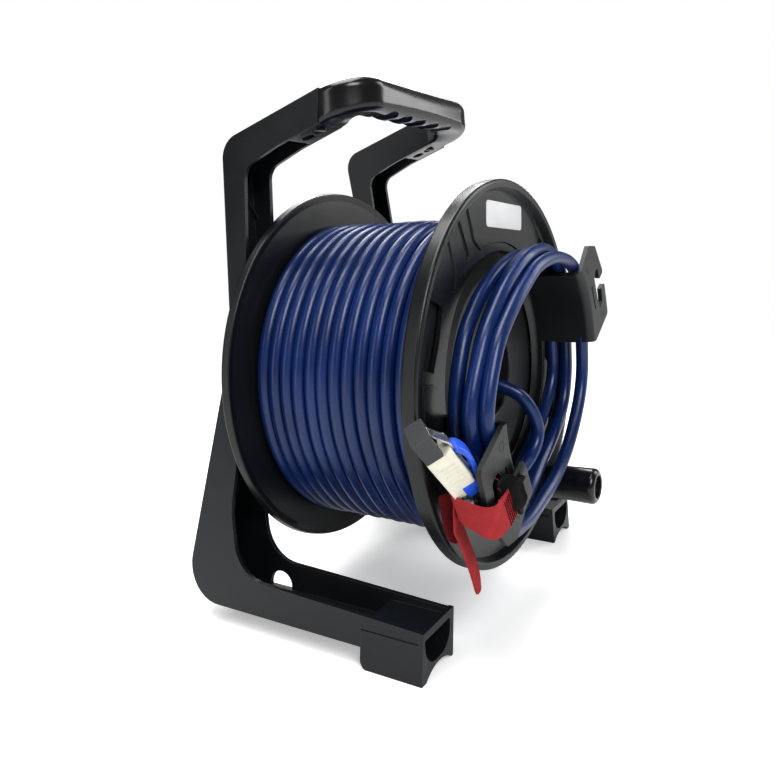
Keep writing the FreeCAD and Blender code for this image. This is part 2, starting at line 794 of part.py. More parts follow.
def crank_screw():
    return moved(pan_screw(2.0, 6.4, -33.0, -29.95, -15.0, 0.7), polar(CRANK_R, CRANK_ANGLE))


# Plug, drawn along U from its capped tip to the cable, side along S, lever on the +W side

def plug_place(shape):
    axis = (PLUG_TAIL - PLUG_TIP).normalize()
    up = V(PLUG_UP)
    up = (up - axis * up.dot(axis)).normalize()
    side = up.cross(axis)
    matrix = FreeCAD.Matrix(
        axis.x, side.x, up.x, PLUG_TIP.x,
        axis.y, side.y, up.y, PLUG_TIP.y,
        axis.z, side.z, up.z, PLUG_TIP.z,
        0, 0, 0, 1,
    )
    result = shape.copy()
    result.Placement = FreeCAD.Placement(matrix)
    return result


CAP_LENGTH = 14.9
SHELL_END = 45.7
PLUG_LENGTH = (PLUG_TAIL - PLUG_TIP).Length


def plug_block(u0, u1, half_side, low, high, radius=0.0):
    block = box(u0, u1, -half_side, half_side, low, high)
    if radius:
        block = block.makeFillet(radius, [e for e in block.Edges if e.BoundBox.XLength > 1])
    return block


def plug_shell():
    shell = plug_block(CAP_LENGTH + 0.3, SHELL_END, 7.0, -5.0, 9.0, 1.0)
    for k in range(5):
        for side in (-1, 1):
            u = 22 + 3 * k
            groove = box(u, u + 1.2, side * 7.2 - 0.5, side * 7.2 + 0.5, -1.0, 6.4)
            shell = shell.cut(groove)
    shell = shell.cut(plug_block(CAP_LENGTH, 24, 5.8, -4.15, 3.95))
    return shell.cut(Part.makeCylinder(4.4, 30, V(25, 0, 0), V(1, 0, 0)))


def plug_nose():
    nose = plug_block(1.6, 23.9, 5.75, -4.1, 3.9)
    for k in range(8):
        side = (k - 3.5) * 1.02
        nose = nose.cut(box(1, 7, side - 0.28, side + 0.28, -5, -2.9))
    return nose


def plug_latch():
    """Sprung latch strip that rises from the nose's tip to under the lever."""
    strip = [(3.0, 3.9, 0), (14.6, 9.15, 4), (20.0, 9.3, 0), (20.0, 10.1, 0), (14.2, 10.0, 4), (3.0, 4.9, 0)]
    wire = outline(strip, lambda u, w: V(u, -3.0, w))
    return Part.Face(wire).extrude(V(0, 6.0, 0))


def plug_collar():
    """Cover round the upper back corner of the shell, which carries the lever."""
    collar = plug_block(SHELL_END - 5.2, SHELL_END + 2.4, 7.5, 1.0, 9.9, 1.2)
    collar = collar.cut(plug_block(30, SHELL_END + 0.1, 7.05, -5.1, 9.1))
    return collar.cut(Part.makeCylinder(5.6, 30, V(SHELL_END - 8, 0, 0), V(1, 0, 0)))


def plug_gland():
    length = PLUG_LENGTH - SHELL_END - 0.1
    gland = Part.makeCone(5.5, 5.2, length, V(SHELL_END + 0.1, 0, 0), V(1, 0, 0))
    gland = gland.cut(Part.makeCylinder(4.4, 40, V(30, 0, 0), V(1, 0, 0)))
    for k in range(6):
        slit = box(48.5, PLUG_LENGTH + 1, -0.3, 0.3, 3.0, 7.0)
        slit.rotate(V(0, 0, 0), V(1, 0, 0), 60 * k)
        gland = gland.cut(slit)
    return gland


def release_lever():
    """Arched lever: a flat bow from the collar over the shell, thin enough to press."""
    def at(u, w):
        return V(u, -3.4, w)

    outer = Part.Arc(at(16.0, 15.0), at(28.0, 16.8), at(40.0, 13.2)).toShape()
    inner = Part.Arc(at(40.6, 11.6), at(28.0, 14.8), at(16.0, 13.0)).toShape()
    heel = Part.makePolygon(
        [at(40.0, 13.2), at(46.5, 11.2), at(46.5, 10.3), at(41.8, 10.3), at(40.6, 11.6)]
    )
    tip = Part.makeLine(at(16.0, 13.0), at(16.0, 15.0))
    wire = Part.Wire([outer] + heel.Edges + [inner, tip])
    return Part.Face(wire).extrude(V(0, 6.8, 0))


def dust_cap():
    """Cap over the plug's nose, slotted on top for the latch."""
    cap = plug_block(0, CAP_LENGTH, 7.1, -4.9, 4.7, 1.0)
    cap = cap.cut(plug_block(1.3, 30, 5.95, -4.25, 4.05))
    return cap.cut(plug_block(2.4, 30, 3.4, 0, 12))


def plug_tail():
    axis = (PLUG_TAIL - PLUG_TIP).normalize()
    points = [
        PLUG_TIP + axis * 47,
        PLUG_TAIL,
        PLUG_TAIL + axis * 8,
        V(-77.8, -21.0, -63.5),
        V(-67.0, -21.8, -71.5),
        V(-57.0, -22.2, -76.0),
    ]
    return tube_along(points, CABLE_OD / 2)


# Strap on the lower hook, drawn in the hook's own (radius, y) plane

def strap_wrap():
    """Band round the hook's lip and the plug's cable, with its sewn end and tucked stub."""
    def band(r0, r1, y0, y1, radius):
        wire = outline(
            [(r0, y0, radius), (r1, y0, radius), (r1, y1, radius), (r0, y1, radius)],
            lambda r, y: V(r, y, -12.5),
        )
        return Part.Face(wire).extrude(V(0, 0, STRAP_W))

    t = STRAP_T
    loop = band(94.0, 116.2, -31.8, -7.2, 5)
    loop = loop.cut(band(94.0 + t, 116.2 - t, -31.8 + t, -7.2 - t, 5 - t))
    sewn = box(85.2, 99.5, -31.8, -31.8 + t, -12.5, STRAP_W - 12.5)
    wrap = turned(joined([loop, sewn]), HOOK_ANGLES[1])
    stub = front_prism(
        [(-100.4, -62.2, 0), (-80.4, -62.2, 0), (-80.0, -52.5, 0), (-99.0, -56.0, 0)], -7.2, -5.6
    )
    return joined([wrap, stub])


TAIL_TOP = V(-90.4, -6.4, -63.3)


def strap_tail():
    """Free end of the strap, hanging in front of the flange and leaning out a little."""
    tip_z = TAIL_TOP.z - 40.0
    lean = 12.0
    half = STRAP_W / 2
    corners = [
        (TAIL_TOP.x - half, TAIL_TOP.z, 0),
        (TAIL_TOP.x + half, TAIL_TOP.z, 0),
        (TAIL_TOP.x + half + lean, tip_z + 8, 0),
        (TAIL_TOP.x + half + lean - 2, tip_z, 6.0),
        (TAIL_TOP.x - half + lean + 2, tip_z, 6.0),
        (TAIL_TOP.x - half + lean, tip_z + 8, 0),
    ]
    tail = front_prism(corners, TAIL_TOP.y - STRAP_T / 2, TAIL_TOP.y + STRAP_T / 2)
    tail.rotate(TAIL_TOP, V(0, 0, 1), 7.0)
    tail.rotate(TAIL_TOP, V(-1, 0, 0), 7.0)
    return tail


def label():
    """Blank sticker on the top panel."""
    corners = [(x, z, 2.5) for x, z in ((-27, -7.75), (27, -7.75), (27, 7.75), (-27, 7.75))]
    sticker = front_prism(corners, WEB_Y - 1.15, WEB_Y - 0.9)
    return moved(turned(sticker, -3.0), polar(96.5, 85.0))


# Write every sub-part

def write_frame():
    left = left_frame()
    shoe = left_shoe()
    pad = left_rear_pad()
    shoe_x_mid = (outer_x(12) + inner_x(12)) / 2
    pad_x = -(REAR_PAD[0] + REAR_PAD[1]) / 2
    pad_y = (REAR_PAD[2] + REAR_PAD[3]) / 2
    cut_screws = [foot_screw(-shoe_x_mid, 30.0, 10.4, 23.0), foot_screw(-pad_x, pad_y, 3.4, 13.9)]
    for screw in cut_screws:
        left = left.cut(screw)
    for z in crossplate_screw_heights():
        left = left.cut(crossplate_screw(-1, z, 2.5))
    save("left_side_frame", left)
    save("right_side_frame", mirrored(left))
    save("left_front_foot", shoe)
    save("right_front_foot", mirrored(shoe))
    save("left_rear_foot", pad)
    save("right_rear_foot", mirrored(pad))
    save("foot_screws", Part.makeCompound(cut_screws + [mirrored(s) for s in cut_screws]))
    save("carry_handle", handle())
    save("handle_screws", handle_screws())
    save("bearing_crossplate", crossplate())
    screws = [crossplate_screw(s, z, 2.5, 4.6) for s in (-1, 1) for z in crossplate_screw_heights()]
    save("crossplate_screws", Part.makeCompound(screws))
    save_on_axis("axle", axle())
    save_on_axis("axle_washer", ring(12, 6.2, 147.0, 149.0))
    save_on_axis("axle_nut", hexagon(18, 149.0, 156.5).cut(rod(6.0, 140, 160)))


def write_drum():
    save_on_axis("drum_core", drum_core())
    save_on_axis("front_flange", front_flange())
    save_on_axis("rear_flange", rear_flange())
    bush_r = AXLE_R + RUNNING
    front_bush = joined([ring(10.98, bush_r, 54, 69), ring(14, bush_r, 52.5, 54)])
    rear_bush = joined([ring(10.98, bush_r, 108, 123), ring(14, bush_r, 123, 125.2)])
    save_on_axis("front_bush", front_bush)
    save_on_axis("rear_bush", rear_bush)
    save_on_axis("drag_washer", ring(13, AXLE_R + 0.3, 125.3, 126.9))
    save_on_axis("wave_spring", ring(12, AXLE_R + 0.5, 127.0, 128.6))
    save_on_axis("retaining_washer", ring(12, 2.7, 50.4, 52.0))
    save_on_axis("retaining_screw", pan_screw(2.5, 5.0, 47.0, 50.3, 66.0, 0.7))
    rear_screw = pan_screw(1.6, 3.4, 128.0, 126.0, 110.0, 0.5)
    rear_screws = [moved(rear_screw, polar(REAR_SCREW_R, 60 * k)) for k in range(6)]
    save_on_axis("rear_flange_screws", Part.makeCompound(rear_screws))
    save_on_axis("hub_disc", hub_disc())
    disc_screw = pan_screw(1.6, 3.6, 10.3, 12.3, 32.0, 0.5)
    disc_screws = [moved(disc_screw, polar(65, degrees)) for degrees in disc_screw_angles()]
    save_on_axis("hub_disc_screws", Part.makeCompound(disc_screws))
    base_hook = hook()
    save_on_axis("upper_cable_hook", turned(base_hook, HOOK_ANGLES[0]))
    save_on_axis("lower_cable_hook", turned(base_hook, HOOK_ANGLES[1]))
    hook_screw = pan_screw(1.5, 3.0, 23.1, LEDGE_Y + 5.8, LEDGE_Y + 0.2, 0.5)
    places = [polar(68, degrees + 9 * side) for degrees in HOOK_ANGLES for side in (-1, 1)]
    save_on_axis("hook_screws", Part.makeCompound([moved(hook_screw, place) for place in places]))
    save_on_axis("label", label())
    save_on_axis("crank_pin", crank_pin())
    save_on_axis("crank_screw", crank_screw())
    save_on_axis("crank_grip", crank_grip())


def write_cable():
    save_on_axis("wound_cable", wound_cable())
    save_on_axis("cable_loops", cable_loops())
    save_on_axis("cable_lead", cable_lead())
    save_on_axis("plug_tail", plug_tail())
    pieces = {
        "plug_shell": plug_shell(),
        "plug_nose": plug_nose(),
        "plug_latch": plug_latch(),
        "plug_collar": plug_collar(),
        "plug_gland": plug_gland(),
        "plug_release_lever": release_lever(),
        "plug_dust_cap": dust_cap(),
    }
    for name, shape in pieces.items():
        save_on_axis(name, plug_place(shape))
    save_on_axis("strap_wrap", strap_wrap())
    save_on_axis("strap_tail", strap_tail())


os.makedirs(OUT, exist_ok=True)
write_frame()
write_drum()
write_cable()
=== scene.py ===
import json
import math
import random

import bmesh
import bpy
from mathutils import Matrix, Vector, noise

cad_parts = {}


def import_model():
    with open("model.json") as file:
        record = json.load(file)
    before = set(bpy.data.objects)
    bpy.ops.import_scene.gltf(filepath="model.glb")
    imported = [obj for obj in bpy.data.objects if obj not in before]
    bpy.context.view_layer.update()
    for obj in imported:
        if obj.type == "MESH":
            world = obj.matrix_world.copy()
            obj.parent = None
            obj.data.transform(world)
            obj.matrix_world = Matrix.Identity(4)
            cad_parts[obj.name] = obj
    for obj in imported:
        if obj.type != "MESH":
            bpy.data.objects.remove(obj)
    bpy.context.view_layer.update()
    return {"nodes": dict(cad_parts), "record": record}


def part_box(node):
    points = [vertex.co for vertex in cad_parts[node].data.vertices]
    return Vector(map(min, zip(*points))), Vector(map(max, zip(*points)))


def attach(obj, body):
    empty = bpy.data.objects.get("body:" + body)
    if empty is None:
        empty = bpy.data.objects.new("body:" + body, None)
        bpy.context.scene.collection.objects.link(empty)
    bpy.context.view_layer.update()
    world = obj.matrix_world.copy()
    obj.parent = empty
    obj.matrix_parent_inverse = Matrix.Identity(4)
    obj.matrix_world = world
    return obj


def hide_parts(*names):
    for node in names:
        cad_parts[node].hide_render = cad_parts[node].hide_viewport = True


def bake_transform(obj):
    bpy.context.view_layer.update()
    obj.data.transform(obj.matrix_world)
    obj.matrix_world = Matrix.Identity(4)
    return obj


# Looks for a portable cable reel. Metres in the row frame; MM turns the CAD's millimetres into metres.
# "Drum coordinates" are radius and angle about the drum's axle, with y 0 at the front flange's rim.

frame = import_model()
MM = 0.001
random.seed(7)

AXLE_LOW, AXLE_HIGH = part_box("axle")
AXIS = (AXLE_LOW + AXLE_HIGH) / 2
RIM_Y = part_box("front_flange")[0].y

CABLE_R = 4.25
TURNS = 13
TURN_PITCH = 8.57
WINDING_START_Y = 10.5
WINDING_R = 91.6
LOWER_HOOK = 208.5
UPPER_HOOK = 28.5
LIP_Y = -29.5
PLUG_TIP = Vector((-131.5, -7.6, -4.2))
PLUG_TAIL = Vector((-93.6, -15.8, -46.4))
PLUG_UP = Vector((0.411, -0.744, 0.527))
TAIL_TOP = Vector((-90.4, -6.4, -63.3))


# Places

def local(x, y, z):
    """A point in drum coordinates' axes, as a row-frame point."""
    return Vector((AXIS.x + x * MM, RIM_Y + y * MM, AXIS.z + z * MM))


def polar(radius, degrees, y):
    turn = math.radians(degrees)
    return local(radius * math.cos(turn), y, radius * math.sin(turn))


def on_hook(angle, r, y, t):
    """Point in a hook's own plane: r outwards, t across its width."""
    turn = math.radians(angle)
    x = r * math.cos(turn) - t * math.sin(turn)
    z = r * math.sin(turn) + t * math.cos(turn)
    return local(x, y, z)


def plug_axes():
    along = (PLUG_TAIL - PLUG_TIP).normalized()
    up = (PLUG_UP - along * PLUG_UP.dot(along)).normalized()
    return along, up.cross(along), up


def on_plug(u, s, w):
    along, side, up = plug_axes()
    p = PLUG_TIP + along * u + side * s + up * w
    return local(p.x, p.y, p.z)


# Shader building

class Shader:
    """A material's node tree, with short calls for the nodes used here."""

    def __init__(self, name):
        self.material = bpy.data.materials.new(name)
        self.material.use_nodes = True
        self.tree = self.material.node_tree
        self.bsdf = self.tree.nodes["Principled BSDF"]

    def add(self, kind, **settings):
        made = self.tree.nodes.new("ShaderNode" + kind)
        for key, value in settings.items():
            setattr(made, key, value)
        return made

    def link(self, source, target):
        self.tree.links.new(source, target)

    def place(self, scale=(1, 1, 1), kind="Object"):
        coordinates = self.add("TexCoord")
        mapping = self.add("Mapping")
        mapping.inputs["Scale"].default_value = scale
        self.link(coordinates.outputs[kind], mapping.inputs["Vector"])
        return mapping.outputs["Vector"]

    def noise(self, where, scale, detail=4.0, roughness=0.6, distortion=0.0):
        made = self.add("TexNoise")
        made.inputs["Scale"].default_value = scale
        made.inputs["Detail"].default_value = detail
        made.inputs["Roughness"].default_value = roughness
        made.inputs["Distortion"].default_value = distortion
        self.link(where, made.inputs["Vector"])
        return made.outputs["Fac"]

    def spread(self, value, low, high, to_low, to_high):
        made = self.add("MapRange")
        limits = {"From Min": low, "From Max": high, "To Min": to_low, "To Max": to_high}
        for key, number in limits.items():
            made.inputs[key].default_value = number
        self.link(value, made.inputs["Value"])
        return made.outputs["Result"]

    def maths(self, operation, a, b):
        made = self.add("Math", operation=operation)
        for socket, value in zip(made.inputs, (a, b)):
            if isinstance(value, (int, float)):
                socket.default_value = value
            else:
                self.link(value, socket)
        return made.outputs["Value"]

    def blend(self, amount, a, b, mode="MIX"):
        made = self.add("Mix", data_type="RGBA", blend_type=mode)
        if isinstance(amount, (int, float)):
            made.inputs[0].default_value = amount
        else:
            self.link(amount, made.inputs[0])
        for socket, value in ((made.inputs[6], a), (made.inputs[7], b)):
            if isinstance(value, tuple):
                socket.default_value = (*value, 1)
            else:
                self.link(value, socket)
        return made.outputs[2]

    def bump(self, height, distance, strength=1.0, normal=None):
        made = self.add("Bump")
        made.inputs["Distance"].default_value = distance
        made.inputs["Strength"].default_value = strength
        self.link(height, made.inputs["Height"])
        if normal:
            self.link(normal, made.inputs["Normal"])
        return made.outputs["Normal"]

    def set(self, **values):
        for key, value in values.items():
            socket = self.bsdf.inputs[key.replace("_", " ")]
            if hasattr(value, "links"):
                self.link(value, socket)
            elif isinstance(value, tuple):
                socket.default_value = (*value, 1)
            else:
                socket.default_value = value


PLASTIC_EDGE = 0.5
METAL_EDGE = 0.25


def rounded_edges(shader, radius):
    """Softened normal at sharp edges, and a mask that is 1 along them."""
    bevel = shader.add("Bevel", samples=4)
    bevel.inputs["Radius"].default_value = radius
    flat = shader.add("NewGeometry")
    agree = shader.add("VectorMath", operation="DOT_PRODUCT")
    shader.link(bevel.outputs["Normal"], agree.inputs[0])
    shader.link(flat.outputs["Normal"], agree.inputs[1])
    mask = shader.spread(agree.outputs["Value"], 0.995, 0.86, 0.0, 1.0)
    return bevel.outputs["Normal"], mask


def moulded(name, base, mottle_and_highlight_tone, rough, grain=2600, grain_depth=0.00004, coat=0.0, edge=0.5, scuffs=0.5):
    """Moulded plastic: fine grain, slow shade variation, faint scuffs, and a painted highlight where the
    colour is lightened along sharp edges.
    """
    s = Shader(name)
    where = s.place()
    normal, mask = rounded_edges(s, PLASTIC_EDGE * MM)
    cloud = s.noise(where, 22, 3)
    fine = s.noise(where, grain, 2, 0.5)
    scratch_place = s.place((60, 60, 420))
    scratch = s.noise(scratch_place, 3.2, 6, 0.75, 1.5)
    scratch = s.spread(scratch, 0.62, 0.7, 0.0, scuffs)
    shade = s.blend(s.spread(cloud, 0.35, 0.7, 0.0, 0.55), base, mottle_and_highlight_tone)
    # Painted highlight: the colour is lightened in patches along sharp edges to stand in for bright edge
    # glints; the edge argument sets how strong it is.
    edge_highlight = s.maths("MULTIPLY", mask, s.spread(s.noise(where, 160, 3), 0.3, 0.65, 0.35 * edge, edge))
    shade = s.blend(edge_highlight, shade, tuple(min(1.0, c * 2.6 + 0.05) for c in mottle_and_highlight_tone))
    shade = s.blend(s.maths("MULTIPLY", scratch, 0.12), shade, (0.3, 0.31, 0.33))
    roughness = s.spread(cloud, 0.3, 0.75, rough - 0.05, rough + 0.08)
    roughness = s.maths("ADD", roughness, s.maths("MULTIPLY", scratch, 0.12))
    roughness = s.maths("SUBTRACT", roughness, s.maths("MULTIPLY", mask, 0.08))
    relief = s.bump(fine, grain_depth, 1.0, normal)
    relief = s.bump(cloud, 0.0004, 0.25, relief)
    s.set(Base_Color=shade, Roughness=roughness, Normal=relief, Coat_Weight=coat, Coat_Roughness=0.12)
    return s.material


def metal(name, base, dark, rough, streak=(40, 900, 40), metallic=1.0, blast=0.0):
    """Plated, turned or blasted metal: streaks or grain, tarnish clouds and a painted highlight along sharp
    edges.
    """
    s = Shader(name)
    where = s.place()
    normal, mask = rounded_edges(s, METAL_EDGE * MM)
    lines = s.noise(s.place(streak), 1.0, 5, 0.7)
    cloud = s.noise(where, 140, 4)
    grain = s.noise(where, 5200, 2)
    shade = s.blend(s.spread(cloud, 0.3, 0.75, 0.0, 1.0), base, dark)
    # Painted highlight: the colour is lightened along sharp edges.
    shade = s.blend(s.maths("MULTIPLY", mask, 0.5), shade, tuple(min(1.0, c * 1.25) for c in base))
    roughness = s.spread(lines, 0.3, 0.7, rough - 0.08, rough + 0.1)
    relief = s.bump(lines, 0.00002, 0.6, normal)
    relief = s.bump(grain, 0.00005, blast, relief)
    s.set(Base_Color=shade, Roughness=roughness, Normal=relief, Metallic=metallic)
    return s.material


def jacket():
    """Cable jacket: deep blue, satin, with extrusion lines along it and a fine orange peel."""
    s = Shader("cable_jacket_look")
    where = s.place()
    along = s.place((6, 26, 1), "UV")
    lines = s.noise(along, 4.0, 3, 0.5)
    peel = s.noise(where, 900, 3)
    cloud = s.noise(where, 35, 3)
    shade = s.blend(s.spread(cloud, 0.3, 0.7, 0.0, 1.0), (0.0012, 0.0170, 0.098), (0.0026, 0.0285, 0.156))
    dust = s.spread(s.noise(where, 420, 5, 0.7), 0.6, 0.8, 0.0, 0.15)
    shade = s.blend(dust, shade, (0.02, 0.07, 0.22))
    roughness = s.spread(s.noise(where, 150, 4), 0.3, 0.7, 0.27, 0.35)
    relief = s.bump(lines, 0.00007, 0.3)
    relief = s.bump(peel, 0.00003, 0.5, relief)
    s.set(
        Base_Color=shade,
        Roughness=roughness,
        Normal=relief,
        Specular_IOR_Level=0.62,
    )
    return s.material


def woven(name, base, light, pile):
    """Hook-and-loop tape: fine cross weave under a soft pile."""
    s = Shader(name)
    ribs = []
    for turn in (0.0, math.pi / 2):
        wave = s.add("TexWave", wave_type="BANDS", bands_direction="X")
        wave.inputs["Scale"].default_value = 1.0
        wave.inputs["Distortion"].default_value = 1.2
        wave.inputs["Detail"].default_value = 2.0
        coordinates = s.add("TexCoord")
        mapping = s.add("Mapping")
        mapping.inputs["Rotation"].default_value = (0, 0, turn)
        mapping.inputs["Scale"].default_value = (260, 260, 260)
        s.link(coordinates.outputs["UV"], mapping.inputs["Vector"])
        s.link(mapping.outputs["Vector"], wave.inputs["Vector"])
        ribs.append(wave.outputs["Fac"])
    weave = s.maths("MULTIPLY", *ribs)
    where = s.place()
    fuzz = s.noise(where, 2400, 6, 0.8)
    cloud = s.noise(where, 120, 3)
    amount = s.maths("ADD", s.maths("MULTIPLY", weave, 0.35), s.spread(fuzz, 0.3, 0.7, 0.0, 0.65))
    shade = s.blend(amount, base, light)
    shade = s.blend(s.spread(cloud, 0.35, 0.7, 0.0, 0.3), shade, tuple(c * 0.55 for c in base))
    relief = s.bump(weave, 0.0003, 0.5)
    relief = s.bump(fuzz, 0.0005, pile, relief)
    s.set(
        Base_Color=shade,
        Roughness=0.92,
        Normal=relief,
        Sheen_Weight=0.45,
        Sheen_Roughness=0.5,
        Sheen_Tint=light,
        Specular_IOR_Level=0.2,
    )
    return s.material


def film():
    """Blank label film with a faint curl of shade and fine grey specks of soiling over its face."""
    s = Shader("label_film_look")
    where = s.place()
    fibre = s.noise(where, 900, 4)
    cloud = s.noise(where, 45, 3)
    shade = s.blend(s.spread(cloud, 0.35, 0.7, 0.0, 0.6), (0.97, 0.97, 0.97), (0.86, 0.87, 0.87))
    shade = s.blend(s.spread(fibre, 0.62, 0.8, 0.0, 0.3), shade, (0.6, 0.6, 0.6))
    roughness = s.spread(fibre, 0.3, 0.7, 0.28, 0.4)
    s.set(Base_Color=shade, Roughness=roughness, Normal=s.bump(cloud, 0.0006, 0.3))
    return s.material


# Moulded plastics: base shade, second shade for mottling and for the painted edge highlight, roughness,
# then grain, grain depth, coat, strength of the painted edge highlight and scuffs
FRAME = moulded(
    "frame_plastic_look", (0.007, 0.009, 0.011), (0.014, 0.017, 0.020), 0.38, 1500, 0.00007, 0.1, 0.55
)
HANDLE = moulded(
    "handle_plastic_look", (0.005, 0.005, 0.006), (0.009, 0.010, 0.011), 0.24, 2600, 0.00002, 0.35, 0.5
)
FLANGE = moulded(
    "flange_plastic_look", (0.007, 0.008, 0.009), (0.013, 0.014, 0.016), 0.33, 3000, 0.00003, 0.15, 0.9
)
DISC = moulded(
    "disc_plastic_look", (0.016, 0.017, 0.019), (0.026, 0.027, 0.030), 0.38, 2400, 0.00004, 0.0, 0.6
)
HOOK = moulded(
    "hook_plastic_look", (0.010, 0.011, 0.012), (0.018, 0.019, 0.021), 0.44, 1800, 0.00007, 0.0, 0.7
)
DRUM = moulded(
    "drum_plastic_look", (0.006, 0.007, 0.008), (0.012, 0.013, 0.015), 0.5, 2000, 0.00005, 0.0, 0.4
)
RUBBER = moulded(
    "foot_rubber_look", (0.012, 0.012, 0.012), (0.025, 0.025, 0.025), 0.75, 1200, 0.00012, 0.0, 0.3
)
BUSH = moulded("bush_plastic_look", (0.62, 0.60, 0.53), (0.55, 0.53, 0.46), 0.42, 1800, 0.00005, 0.0, 0.2)
CAP = moulded(
    "cap_plastic_look", (0.052, 0.056, 0.060), (0.072, 0.076, 0.080), 0.44, 2200, 0.00006, 0.0, 0.7
)
BLUE = moulded(
    "plug_blue_look", (0.030, 0.125, 0.78), (0.045, 0.175, 0.92), 0.3, 2600, 0.00003, 0.25, 0.35, 0.2
)
DARK_CLEAR = moulded(
    "plug_nose_look", (0.020, 0.021, 0.024), (0.30, 0.31, 0.33), 0.16, 2600, 0.00003, 0.6, 1.6, 0.8
)
ZINC = metal("zinc_steel_look", (0.66, 0.67, 0.68), (0.50, 0.51, 0.53), 0.32)
AXLE = metal("axle_steel_look", (0.58, 0.59, 0.61), (0.44, 0.45, 0.47), 0.26, (30, 1400, 30))
BLACK_STEEL = metal("black_steel_look", (0.035, 0.036, 0.040), (0.02, 0.02, 0.022), 0.38, metallic=0.85)
PLUG_METAL = metal(
    "plug_metal_look", (0.92, 0.90, 0.76), (0.80, 0.78, 0.66), 0.4, (50, 50, 50), 0.12, 0.7
)
GOLD = metal("contact_gold_look", (0.85, 0.62, 0.22), (0.70, 0.48, 0.16), 0.2)
SHIELD = metal("plug_shield_look", (0.78, 0.78, 0.80), (0.10, 0.10, 0.12), 0.24, (90, 300, 90), 0.9)
JACKET = jacket()
RED = woven("strap_fabric_look", (0.42, 0.020, 0.026), (0.72, 0.10, 0.11), 0.7)
# A darker copy of the red tape: painted shade for the strap layer that lies in shadow.
PAINTED_SHADE_RED = woven("strap_painted_shade_look", (0.16, 0.008, 0.012), (0.30, 0.03, 0.035), 0.7)
BLACK_TAPE = woven("strap_hook_look", (0.006, 0.006, 0.007), (0.03, 0.03, 0.032), 1.0)
LABEL = film()

SLOTS = {
    "frame_plastic": FRAME,
    "handle_plastic": HANDLE,
    "flange_plastic": FLANGE,
    "disc_plastic": DISC,
    "hook_plastic": HOOK,
    "drum_plastic": DRUM,
    "foot_rubber": RUBBER,
    "bush_plastic": BUSH,
    "cap_plastic": CAP,
    "plug_blue": BLUE,
    "zinc_steel": ZINC,
    "axle_steel": AXLE,
    "black_steel": BLACK_STEEL,
    "plug_metal": PLUG_METAL,
    "cable_jacket": JACKET,
    "strap_fabric": RED,
    "label_film": LABEL,
    "plug_clear": DARK_CLEAR,
}


# Nodes whose look differs from their slot's usual one
NODE_LOOKS = {
    "plug_latch": SHIELD,
    "plug_gland": SHIELD,
    "crank_screw": ZINC,
    "handle_screws": BLACK_STEEL,
}
SHARP_ANGLE = 32


def dress_cad():
    for part in frame["record"]["subparts"]:
        node = frame["nodes"][part["node"]]
        node.data.materials.clear()
        look = NODE_LOOKS.get(part["node"], SLOTS[part["material_slot"]])
        node.data.materials.append(look)
        for face in node.data.polygons:
            face.use_smooth = True
        node.modifiers.new("edges", "EDGE_SPLIT").split_angle = math.radians(SHARP_ANGLE)


# Mesh building

def as_object(name, mesh, materials, body):
    made = bpy.data.objects.new(name, mesh)
    bpy.context.scene.collection.objects.link(made)
    for material in materials:
        mesh.materials.append(material)
    for face in mesh.polygons:
        face.use_smooth = True
    if body:
        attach(made, body)
    return made


def to_object(name, mesh, materials, body, smooth=True):
    """Turns a finished bmesh into an object, with its faces outwards."""
    bmesh.ops.recalc_face_normals(mesh, faces=mesh.faces)
    if mesh.calc_volume(signed=True) < 0:
        bmesh.ops.reverse_faces(mesh, faces=mesh.faces)
    data = bpy.data.meshes.new(name)
    mesh.to_mesh(data)
    mesh.free()
    made = as_object(name, data, materials, body)
    if not smooth:
        for face in data.polygons:
            face.use_smooth = False
    return made


def frames_along(points):
    """Tangent and a slowly turning normal at each point of a line."""
    tangents = []
    for i in range(len(points)):
        ahead = points[min(i + 1, len(points) - 1)]
        behind = points[max(i - 1, 0)]
        tangents.append((ahead - behind).normalized())
    start = Vector((0, 1, 0)) if abs(tangents[0].y) < 0.9 else Vector((1, 0, 0))
    normal = start.cross(tangents[0]).normalized()
    result = []
    for tangent in tangents:
        normal = (normal - tangent * normal.dot(tangent)).normalized()
        result.append((tangent, normal.copy()))
    return result


def tube(name, points, radius, sides, material, body):
    """Round cable along a line of row-frame points, closed by domed ends."""
    frames = frames_along(points)
    first, last = points[0], points[-1]
    rings = [(first - frames[0][0] * radius * 0.25, 0.6)] + [(p, 1.0) for p in points]
    rings.append((last + frames[-1][0] * radius * 0.25, 0.6))
    directions = [frames[0]] + frames + [frames[-1]]
    mesh = bmesh.new()
    texture = mesh.loops.layers.uv.new("UVMap")
    previous, travelled, before = None, 0.0, 0.0
    for index, ((centre, share), (tangent, normal)) in enumerate(zip(rings, directions)):
        side = tangent.cross(normal)
        ring = []
        for k in range(sides):
            turn = 2 * math.pi * k / sides
            offset = normal * math.cos(turn) + side * math.sin(turn)
            ring.append(mesh.verts.new(centre + offset * radius * share))
        if previous:
            travelled += (centre - rings[index - 1][0]).length
            for k in range(sides):
                after = (k + 1) % sides
                face = mesh.faces.new((previous[k], previous[after], ring[after], ring[k]))
                spots = ((before, k), (before, k + 1), (travelled, k + 1), (travelled, k))
                for loop, (u, v) in zip(face.loops, spots):
                    loop[texture].uv = (u * 10, v / sides)
            before = travelled
        else:
            mesh.faces.new(list(reversed(ring)))
        previous = ring
    mesh.faces.new(previous)
    return to_object(name, mesh, [material], body)


